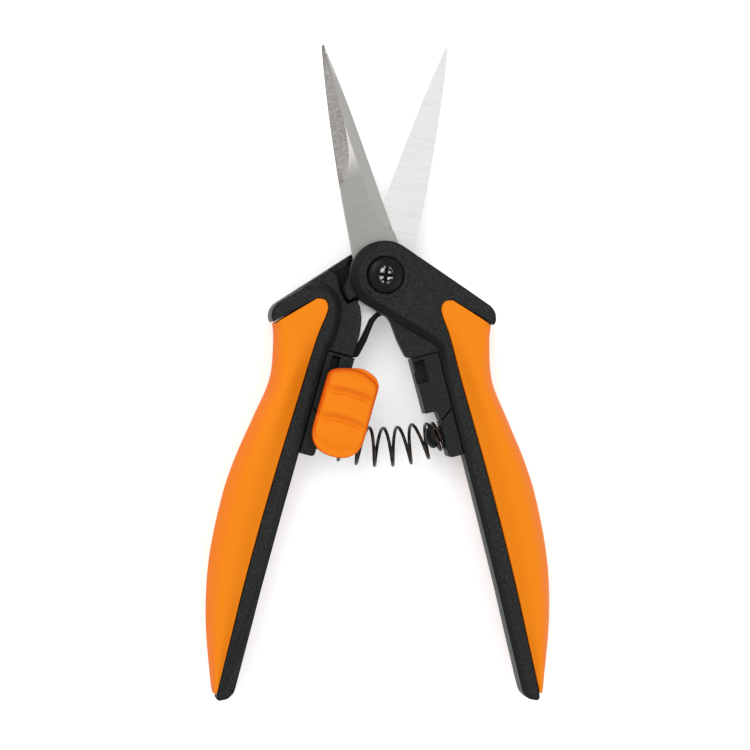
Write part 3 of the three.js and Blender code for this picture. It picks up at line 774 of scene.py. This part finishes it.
BUTTON_LEFT = -7.4
BUTTON_RIGHT = 5.9
BUTTON_MIDDLE = (BUTTON_LEFT + BUTTON_RIGHT) / 2
BUTTON_BOTTOM = -47.6
BOTTOM_ROUND = 6.4
BUTTON_STEPS = ((-30.4, 1.0), (-37.3, 0.95))  # where each step across begins, and its depth
STEP_BOW = 0.022
CROWN_BOW = 0.028
SKIRT_SHOWS = 0.9
SKIRT_HEIGHT = 2.4


def button_loop():
    """A squarish half round below, and a top that slopes down to the right."""
    half = (BUTTON_RIGHT - BUTTON_LEFT) / 2
    angles = np.radians(np.linspace(0, -180, 36))
    cosines, sines = np.cos(angles), np.sin(angles)
    bottom = np.column_stack([
        BUTTON_MIDDLE + half * np.sign(cosines) * abs(cosines) ** 0.85,
        BUTTON_BOTTOM + BOTTOM_ROUND + BOTTOM_ROUND * np.sign(sines) * abs(sines) ** 0.9,
    ])
    top = [
        (BUTTON_LEFT, -28.4), (BUTTON_LEFT + 0.5, -26.9), (-5.0, -25.75), (-1.6, -25.1), (1.6, -25.35),
        (4.6, -26.6), (BUTTON_RIGHT, -28.4),
    ]
    return np.vstack([bottom, spline(top, 6)])


def button_face(places):
    """A crowned top that comes down in two soft steps across, each with a crisp lower edge."""
    x, y = places.T
    crown = BUTTON_TOP - CROWN_BOW * (x - BUTTON_MIDDLE) ** 2
    crown = crown - 0.9 * smooth(y, -28.5, -24.6) - 1.5 * smooth(y, -41.5, -48.5) ** 1.3
    for start, depth in BUTTON_STEPS:
        below = start - STEP_BOW * (x - BUTTON_MIDDLE) ** 2 - y
        step = smooth(below, -1.0, 1.2) - 0.3 * smooth(below, 1.2, 1.7)
        ends = 1 - 0.45 * smooth(abs(x - BUTTON_MIDDLE), 3.5, 6.6)
        crown = crown - depth * step * ends
    return crown


def button_mesh():
    """The thumb pad, over a skirt that shows a little past its upper right end."""
    skirt = button_loop()
    skirt[:, 1] += SKIRT_SHOWS * smooth(skirt[:, 0], -4.0, 2.0) * smooth(skirt[:, 1], -33.0, -29.0)
    return mesh_from(
        relief(button_loop(), BUTTON_BASE, button_face, 0.26, edge=1.15),
        relief(skirt, BUTTON_BASE, BUTTON_BASE + SKIRT_HEIGHT, 0.4, edge=0.4),
    )


def bolt_mesh():
    """Foot and neck in the track, arm across under the button, tooth at its end, and stud."""

    def bar(x0, x1, y0, y1, z0, z1):
        return relief([(x0, y0), (x1, y0), (x1, y1), (x0, y1)], z0, z1, 0.6, edge=0.12)

    return mesh_from(
        bar(-7.4, -4.6, -35.2, -29.2, 1.2, 2.4), bar(-6.8, -5.2, -35.2, -29.2, 2.3, 4.2),
        bar(-6.8, 3.9, -35.2, -26.5, 4.1, 5.2), bar(2.7, 3.9, -28.3, -26.5, 1.8, 4.2),
        bar(-2.2, 0.2, -33.4, -31.0, 5.1, BUTTON_BASE + 0.2),
    )


# ------------ spring

STEPS_PER_TURN = 44
EASING = 15  # steps either side over which the pitch is averaged, so the wire has no kink
WIRE_SIDES = 12


def spring_mesh():
    """Wire on a bowed axis from post to post: close coils at both ends, wide ones between."""
    foot = Matrix.Rotation(HALF_OPENING, 2) @ Vector((SEAT_FACE - 0.75, POST_Y))
    start, end = np.array(foot), np.array((-foot.x, foot.y))
    low = np.array((0, foot.y - SPRING_BOW))
    t = np.linspace(0, 1, 400)[:, None]
    axis = (1 - t) ** 2 * start + 2 * t * (1 - t) * low + t**2 * end
    travelled = np.concatenate([[0], np.cumsum(np.linalg.norm(np.diff(axis, axis=0), axis=1))])
    length = travelled[-1]
    steps = int(SPRING_TURNS * STEPS_PER_TURN)
    turns = np.linspace(0, SPRING_TURNS, steps + 1)
    knots = [0, CLOSE_TURNS, SPRING_TURNS - CLOSE_TURNS, SPRING_TURNS]
    where = np.interp(turns, knots, [0, CLOSE_LENGTH, length - CLOSE_LENGTH, length])
    kernel = np.ones(2 * EASING + 1) / (2 * EASING + 1)
    where = np.convolve(np.pad(where, EASING, mode="reflect", reflect_type="odd"), kernel, mode="valid")
    from_end = np.minimum(turns, SPRING_TURNS - turns)
    radius = END_COIL_RADIUS + (COIL_RADIUS - END_COIL_RADIUS) * smooth(from_end, 1.0, 2.4)
    x, y = np.interp(where, travelled, axis[:, 0]), np.interp(where, travelled, axis[:, 1])
    forward = np.gradient(np.column_stack([x, y]), axis=0)
    forward /= np.linalg.norm(forward, axis=1)[:, None]
    angle = turns * 2 * math.pi
    sideways = radius * np.cos(angle)
    middle = np.column_stack([x, y, np.zeros_like(x)])
    height = radius * np.sin(angle)
    line = np.column_stack([x - forward[:, 1] * sideways, y + forward[:, 0] * sideways, height])
    return mesh_from(lambda shape: join_rings(shape, wire_rings(shape, line, middle)))


def wire_rings(shape, line, middle):
    """Rings of vertices round a line, each turned away from the coil's middle, thinner at the ends."""
    last = len(line) - 1
    angles = [2 * math.pi * i / WIRE_SIDES for i in range(WIRE_SIDES)]
    rings = []
    for k, here in enumerate(line):
        ahead = Vector(line[min(k + 1, last)] - line[max(k - 1, 0)]).normalized()
        outward = Vector(here - middle[k])
        outward = (outward - ahead * outward.dot(ahead)).normalized()
        up = ahead.cross(outward)
        radius = WIRE_RADIUS * (1.0 if 2 < k < last - 2 else 0.8)
        spokes = [radius * (outward * math.cos(a) + up * math.sin(a)) for a in angles]
        rings.append([shape.verts.new(Vector(here) + spoke) for spoke in spokes])
    return rings


# ------------ materials


def scaled(color, factor):
    """A colour made darker or lighter."""
    return tuple(c * factor for c in color)


class Shader:
    """A Principled material, with short ways to add the nodes that drive it."""

    def __init__(self, name, color, roughness, metallic=0.0, **values):
        self.material = bpy.data.materials.new(name)
        self.material.use_nodes = True
        self.tree = self.material.node_tree
        self.principled = self.tree.nodes["Principled BSDF"]
        self.principled.inputs["Base Color"].default_value = (*color, 1)
        self.principled.inputs["Roughness"].default_value = roughness
        self.principled.inputs["Metallic"].default_value = metallic
        for socket, value in values.items():
            self.principled.inputs[socket.replace("_", " ")].default_value = value

    def add(self, kind, **settings):
        """A new node with the given settings."""
        node = self.tree.nodes.new(kind)
        for key, value in settings.items():
            setattr(node, key, value)
        return node

    def link(self, output, target):
        self.tree.links.new(output, target)

    def place_at(self, scale=(1, 1, 1), degrees=0.0):
        """Places on the object, in metres, turned about Z and then stretched."""
        source = self.add("ShaderNodeTexCoord").outputs["Object"]
        turn = self.add("ShaderNodeMapping", vector_type="POINT")
        turn.inputs["Rotation"].default_value = (0, 0, math.radians(degrees))
        self.link(source, turn.inputs["Vector"])
        stretch = self.add("ShaderNodeMapping", vector_type="POINT")
        stretch.inputs["Scale"].default_value = scale
        self.link(turn.outputs["Vector"], stretch.inputs["Vector"])
        return stretch.outputs["Vector"]

    def noise(self, scale, detail=2.0, roughness=0.5, vector=None):
        """Noise with `scale` features to a metre, unless a vector gives its own scale."""
        node = self.add("ShaderNodeTexNoise")
        node.inputs["Scale"].default_value = scale
        node.inputs["Detail"].default_value = detail
        node.inputs["Roughness"].default_value = roughness
        self.link(vector or self.place_at(), node.inputs["Vector"])
        return node.outputs["Fac"]

    def span(self, value, low, high, to_low=0.0, to_high=1.0):
        """A value's range from low to high, made into another range and held to it."""
        node = self.add("ShaderNodeMapRange")
        for socket, number in zip(("From Min", "From Max", "To Min", "To Max"), (low, high, to_low, to_high)):
            node.inputs[socket].default_value = number
        self.link(value, node.inputs["Value"])
        return node.outputs["Result"]

    def math(self, operation, a, b=0.0):
        """A sum on two values, each a number or a node's output."""
        node = self.add("ShaderNodeMath", operation=operation)
        for socket, value in zip(node.inputs, (a, b)):
            if isinstance(value, (int, float)):
                socket.default_value = value
            else:
                self.link(value, socket)
        return node.outputs["Value"]

    def blend(self, share, one, two):
        """A colour between two others, each a colour or a node's output."""
        node = self.add("ShaderNodeMix", data_type="RGBA")
        self.link(share, node.inputs["Factor"])
        color_inputs, color_output = node.inputs[6:8], node.outputs[2]  # the names serve other types too
        for socket, value in zip(color_inputs, (one, two)):
            if isinstance(value, tuple):
                socket.default_value = (*value, 1)
            else:
                self.link(value, socket)
        return color_output

    def lean(self):
        """How far a surface leans from facing up or down: 0 flat, 1 upright."""
        normal = self.add("ShaderNodeSeparateXYZ")
        self.link(self.add("ShaderNodeNewGeometry").outputs["Normal"], normal.inputs["Vector"])
        return self.math("SUBTRACT", 1.0, self.math("ABSOLUTE", normal.outputs["Z"]))

    def color(self, output):
        self.link(output, self.principled.inputs["Base Color"])

    def rough(self, output):
        self.link(output, self.principled.inputs["Roughness"])

    def bump(self, height, distance, strength):
        """Relief from a height, over a distance in metres."""
        node = self.add("ShaderNodeBump")
        node.inputs["Strength"].default_value = strength
        node.inputs["Distance"].default_value = distance
        self.link(height, node.inputs["Height"])
        self.link(node.outputs["Normal"], self.principled.inputs["Normal"])


def moulded_nylon(name, color):
    """Charcoal nylon with a fine spark-eroded grain, with painted shade darkening its chamfers and painted
    light making its upright walls paler.
    """
    shader = Shader(name, color, 0.6, Specular_IOR_Level=0.17)
    grain = shader.noise(3600, 3, 0.6)
    speck = shader.noise(3000, 3, 0.75)
    cloud = shader.noise(60, 3)
    lean = shader.lean()
    shadowed = shader.blend(shader.span(grain, 0.42, 0.6), scaled(color, 0.35), color)
    speckled = shader.blend(shader.span(speck, 0.5, 0.68, 0, 0.9), shadowed, scaled(color, 3.6))
    clouded = shader.blend(shader.span(cloud, 0.3, 0.75, 0, 0.35), speckled, scaled(color, 0.75))
    # painted shade: faces that lean a little from flat, the chamfers, are darkened
    chamfer_shaded = shader.blend(shader.span(lean, 0.03, 0.16, 0, 0.85), clouded, scaled(color, 0.25))
    # painted light: upright walls are made paler
    shader.color(shader.blend(shader.span(lean, 0.7, 0.97, 0, 0.8), chamfer_shaded, scaled(color, 4.0)))
    grainy = shader.span(grain, 0.3, 0.7, 0.55, 0.75)
    shader.rough(shader.math("SUBTRACT", grainy, shader.span(lean, 0.04, 0.4, 0, 0.12)))
    shader.bump(grain, 0.00009, 0.7)
    return shader.material


def soft_grip(name, color, rolled_shade_color, lean_range=(0.22, 0.95)):
    """Orange soft-touch moulding: even and satin, with painted shade making it darker and redder where it
    rolls away.
    """
    shader = Shader(name, color, 0.5, Specular_IOR_Level=0.09)
    cloud = shader.noise(45, 3)
    fine = shader.noise(2200, 2)
    # painted shade: the more a face leans from flat, the more it takes the darker, redder colour
    rolled_shade = shader.span(shader.lean(), *lean_range)
    shade_tinted = shader.blend(rolled_shade, color, rolled_shade_color)
    worn = tuple(min(c * 1.15 + 0.01, 1) for c in color)
    shader.color(shader.blend(shader.span(cloud, 0.35, 0.75, 0, 0.10), shade_tinted, worn))
    shader.rough(shader.span(fine, 0.3, 0.7, 0.46, 0.6))
    shader.bump(fine, 0.00003, 0.35)
    return shader.material


def ground_steel(name, degrees, color, hollow_shade_color, bevel_highlight_color):
    """The blade's outer face: fine lines on the flat and coarser ones in the hollow grind, with painted shade
    darkening the hollow, a painted highlight on the bevel, and a painted highlight on the flat towards the
    tip.
    """
    shader = Shader(name, color, 0.36, metallic=1.0)
    along = shader.noise(1, 4, 0.6, shader.place_at((2600, 90, 90), degrees))
    across = shader.noise(1, 4, 0.7, shader.place_at((420, 3000, 420), degrees))
    cloud = shader.noise(70, 2)
    grind = shader.add("ShaderNodeAttribute", attribute_name="grind").outputs["Fac"]
    hollow = shader.span(grind, 0.55, 0.95)
    bevel = shader.span(grind, 0.05, 0.45)
    fine = shader.math("ADD", shader.span(along, 0.3, 0.7, 0, 0.2), shader.span(across, 0.3, 0.7, 0, 0.6))
    brushed = shader.blend(fine, color, scaled(color, 0.78))
    # painted highlight: the flat is made brighter towards the tip
    painted_highlight = shader.add("ShaderNodeAttribute", attribute_name="painted_highlight").outputs["Fac"]
    plain = shader.blend(painted_highlight, brushed, scaled(color, 1.7))
    # painted highlight: the bevel is paler
    bevelled = shader.blend(bevel, plain, bevel_highlight_color)
    mottle = shader.noise(1300, 3, 0.7)
    patchy = shader.math("ADD", shader.span(across, 0.3, 0.7, 0, 0.6), shader.span(mottle, 0.4, 0.65, 0, 0.5))
    scored = shader.blend(patchy, scaled(hollow_shade_color, 1.15), scaled(hollow_shade_color, 0.62))
    # painted shade: the hollow grind takes a darker colour, over its real coarse lines
    shader.color(shader.blend(hollow, bevelled, scored))
    uneven = shader.span(cloud, 0.3, 0.7, 0.33, 0.42)
    shader.rough(shader.math("ADD", uneven, shader.math("MULTIPLY", hollow, 0.1)))
    lines = shader.math("ADD", shader.math("MULTIPLY", across, hollow), shader.math("MULTIPLY", along, 0.35))
    shader.bump(lines, 0.00003, 0.5)
    return shader.material


def lapped_steel(name, degrees, color):
    """The blade's flat inner face: bright, with long grinding lines across it."""
    shader = Shader(name, color, 0.42, metallic=1.0)
    lines = shader.noise(1, 5, 0.7, shader.place_at((110, 2400, 110), degrees))
    sweeps = shader.noise(1, 3, 0.5, shader.place_at((70, 700, 70), degrees - 4))
    fine, broad = shader.span(lines, 0.35, 0.65, 0, 0.6), shader.span(sweeps, 0.35, 0.65, 0, 0.4)
    shader.color(shader.blend(shader.math("ADD", fine, broad), color, scaled(color, 0.84)))
    shader.rough(shader.span(sweeps, 0.3, 0.7, 0.38, 0.5))
    shader.bump(lines, 0.00002, 0.45)
    return shader.material


def coated_hardware(name):
    """Glossy black coating, chipped to bright metal round the screw's driven recess."""
    black, bright = (0.003, 0.004, 0.005), (0.62, 0.62, 0.62)
    shader = Shader(name, black, 0.2, Specular_IOR_Level=0.14)
    round_recess = shader.add("ShaderNodeAttribute", attribute_name="bare").outputs["Fac"]
    chips = shader.span(shader.noise(1100, 3, 0.7), 0.44, 0.56)
    bare = shader.math("MULTIPLY", round_recess, chips)
    shader.color(shader.blend(bare, black, bright))
    shader.link(bare, shader.principled.inputs["Metallic"])
    swirl = shader.noise(900, 2)
    shader.rough(shader.span(swirl, 0.3, 0.7, 0.2, 0.32))
    shader.bump(swirl, 0.00003, 0.25)
    return shader.material


def dark_wire(name):
    """Oiled spring wire: brown-black, with drawn lines and faint worn patches."""
    shader = Shader(name, (0.020, 0.015, 0.012), 0.3, metallic=0.9)
    patches = shader.noise(700, 3, 0.6)
    shader.color(shader.blend(shader.span(patches, 0.4, 0.7), (0.014, 0.010, 0.008), (0.060, 0.046, 0.038)))
    shader.rough(shader.span(shader.noise(2500, 2), 0.3, 0.7, 0.26, 0.44))
    shader.bump(patches, 0.00002, 0.3)
    return shader.material


def pale_floor(name):
    """A near-white studio floor with a very faint cloud in it."""
    shader = Shader(name, (0.93, 0.93, 0.93), 0.9, Emission_Color=(1, 1, 1, 1), Emission_Strength=0.3)
    shader.color(shader.blend(shader.noise(3, 2), (0.935, 0.935, 0.935), (0.925, 0.925, 0.925)))
    return shader.material


NYLON = moulded_nylon("moulded_nylon", (0.0135, 0.0160, 0.0155))
INSERT = moulded_nylon("moulded_insert", (0.0120, 0.0145, 0.0140))
# painted shade: a near-black copy of the nylon, for the skins where there is only shadow
SHADE_NYLON = moulded_nylon("painted_shade_nylon", (0.0035, 0.0042, 0.0042))
# the second colour of each is painted shade for faces that roll away; on the button it also shades the gentle
# slopes of its steps
GRIP = soft_grip("soft_grip", (0.80, 0.215, 0.004), (0.69, 0.125, 0.003))
BUTTON = soft_grip("satin_button", (0.81, 0.205, 0.004), (0.68, 0.095, 0.003), (0.02, 0.35))
HARDWARE = coated_hardware("coated_hardware")
WIRE = dark_wire("dark_wire")


FLAT_COLOR = (0.385, 0.375, 0.35)
# the hollow's colour is painted shade and the bevel's colour a painted highlight
HOLLOW_SHADE_COLOR = (0.31, 0.295, 0.28)
BEVEL_HIGHLIGHT_COLOR = (0.445, 0.435, 0.415)
LAPPED_COLOR = (0.80, 0.80, 0.785)


def blade_steels(side, degrees):
    """One blade's outer and inner steel, with their lines turned to suit how it lies."""
    outer = ground_steel(f"ground_steel_{side}", degrees, FLAT_COLOR, HOLLOW_SHADE_COLOR, BEVEL_HIGHLIGHT_COLOR)
    return outer, lapped_steel(f"lapped_steel_{side}", degrees, LAPPED_COLOR)


# ------------ pieces in place


def marked_blade():
    """The blade's mesh, with its inner face on the second material, its grinds marked, and a painted
    highlight marked towards the tip.
    """
    mesh = blade_mesh()
    for face in mesh.polygons:
        face.material_index = 1 if face.normal.z < -0.5 else 0
    x, y, z = np.array([face.center for face in mesh.polygons]).T
    above = z > 0.2  # clear of the inner face
    hollow = (x < across_at(hollow_edge, y)) & (y > HOLLOW_START_Y) & above
    bevel = (x > across_at(bevel_edge, y)) & (y > BEVEL_START_Y) & above
    grind = mesh.attributes.new("grind", "FLOAT", "FACE")
    grind.data.foreach_set("value", np.where(hollow, 1.0, np.where(bevel, 0.5, 0.0)))
    y = vertex_places(mesh)[1]
    # painted highlight, brighter towards the tip
    painted_highlight = mesh.attributes.new("painted_highlight", "FLOAT", "POINT")
    painted_highlight.data.foreach_set("value", smooth(y, 25.5, 33.0))
    return mesh


def marked_inner_shell():
    """The inner shell's mesh, with the thin skins at the blades on the darker material, which is painted
    shade.
    """
    mesh = inner_shell_mesh()
    for face in mesh.polygons:
        face.material_index = 1 if face.center.z > 0.01 - HALF_SEAM else 0
    return mesh


def place_halves():
    """The pieces that both halves have, each made once and placed twice."""
    parts = (
        ("outer_shell", outer_shell_mesh(), NYLON, "black_nylon"),
        ("inner_shell", marked_inner_shell(), NYLON, "black_nylon"),
        ("grip", mesh_from(grip_solid), GRIP, "orange_grip"),
        ("spring_seat", seat_mesh(), INSERT, "black_insert"),
        ("spring_post", post_mesh(), INSERT, "black_insert"),
    )
    blade = marked_blade()
    for side, matrix, degrees in (("front", FRONT, -15), ("rear", REAR, 15)):
        body = f"{side}_half"
        for part, mesh, material, slot in parts:
            place(f"{side}_{part}_finished", mesh, matrix, material, body, [f"{side}_{part}"])
        # the second material, painted shade, goes on the skins
        bpy.data.objects[f"{side}_inner_shell_finished"].data.materials.append(SHADE_NYLON)
        outer, inner = blade_steels(side, degrees)
        nodes = [f"{side}_blade"]
        piece = place(f"{side}_blade_finished", blade, matrix, outer, body, nodes, 12)
        piece.data.materials.append(inner)


def place_single_pieces():
    """The pieces that there is one of."""
    pieces = (
        ("catch_block", catch_block_mesh(), FRONT, INSERT, "front_half", "front_catch_block", "black_insert"),
        ("lock_rail", lock_rail_mesh(), REAR_UPRIGHT, INSERT, "rear_half", "rear_lock_rail", "black_insert"),
        ("lock_bolt", bolt_mesh(), REAR_UPRIGHT, INSERT, "lock", "lock_bolt", "black_insert"),
        ("lock_button", button_mesh(), REAR_UPRIGHT, BUTTON, "lock", "lock_button", "orange_button"),
        ("pivot_screw", screw_mesh(), LIFT, HARDWARE, "front_half", "pivot_screw", "black_hardware"),
        ("pivot_nut", nut_mesh(), LIFT, HARDWARE, "front_half", "pivot_nut", "black_hardware"),
    )
    for name, mesh, matrix, material, body, node, slot in pieces:
        place(f"{name}_finished", mesh, matrix, material, body, [node])


def place_spring():
    """The spring, placed with no body and its placing baked into its mesh."""
    nodes = ["opening_spring"]
    piece = place("opening_spring_finished", spring_mesh(), LIFT, WIRE, None, nodes, 60)
    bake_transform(piece)


def finish_kept_nodes():
    """The hidden pieces whose CAD shape stays get a worked material too."""
    for node in ("pivot_sleeve", "pivot_washer", "front_tang_pin", "rear_tang_pin", "lock_detent_spring"):
        mesh = frame["nodes"][node].data
        mesh.materials.clear()
        mesh.materials.append(HARDWARE)


# ------------ stage, light and camera


def set_stage():
    """A pale floor under an even white sky."""
    bpy.ops.mesh.primitive_plane_add(size=6, location=(0, 0, 0))
    floor = bpy.context.object
    floor.name = "floor"
    floor.data.materials.append(pale_floor("pale_floor"))

    world = bpy.data.worlds.new("studio")
    bpy.context.scene.world = world
    world.use_nodes = True
    sky = world.node_tree.nodes["Background"]
    sky.inputs["Color"].default_value = (1, 1, 1, 1)
    sky.inputs["Strength"].default_value = 0.88


def add_lamp(name, place_at, aim, size, watts):
    """A round soft lamp, turned to shine at a place."""
    light = bpy.data.lights.new(name, "AREA")
    light.shape = "DISK"
    light.size = size
    light.energy = watts
    lamp = bpy.data.objects.new(name, light)
    lamp.location = place_at
    lamp.rotation_euler = (Vector(aim) - Vector(place_at)).to_track_quat("-Z", "Y").to_euler()
    bpy.context.scene.collection.objects.link(lamp)


def set_camera():
    """Nearly overhead and 7 degrees from the left, turned by two thirds of a degree."""
    height, distance_left, along = 0.800, -0.102, -0.0255
    aim = Vector((-0.00156, -0.0252, MID_HEIGHT * MM))
    roll = math.radians(0.66)
    frame_width = 0.1901
    sensor = 36
    place_at = Vector((distance_left, along, MID_HEIGHT * MM + height))
    back = (place_at - aim).normalized()
    right = Vector((math.cos(roll), math.sin(roll), 0))
    right = (right - back * right.dot(back)).normalized()
    up = back.cross(right)
    data = bpy.data.cameras.new("camera")
    data.sensor_width = sensor
    data.lens = sensor * (place_at - aim).length / frame_width
    data.clip_start = 0.01
    data.clip_end = 20
    camera = bpy.data.objects.new("camera", data)
    camera.matrix_world = Matrix.Translation(place_at) @ Matrix((right, up, back)).transposed().to_4x4()
    bpy.context.scene.collection.objects.link(camera)
    bpy.context.scene.camera = camera


place_halves()
place_single_pieces()
place_spring()
finish_kept_nodes()
set_stage()
add_lamp("key", (-0.5, 0.55, 1.1), (0, 0, 0), 0.9, 5.0)
add_lamp("fill", (0.8, -0.4, 0.9), (0, 0, 0), 1.0, 2.0)
set_camera()
bpy.context.scene.view_settings.view_transform = "Standard"
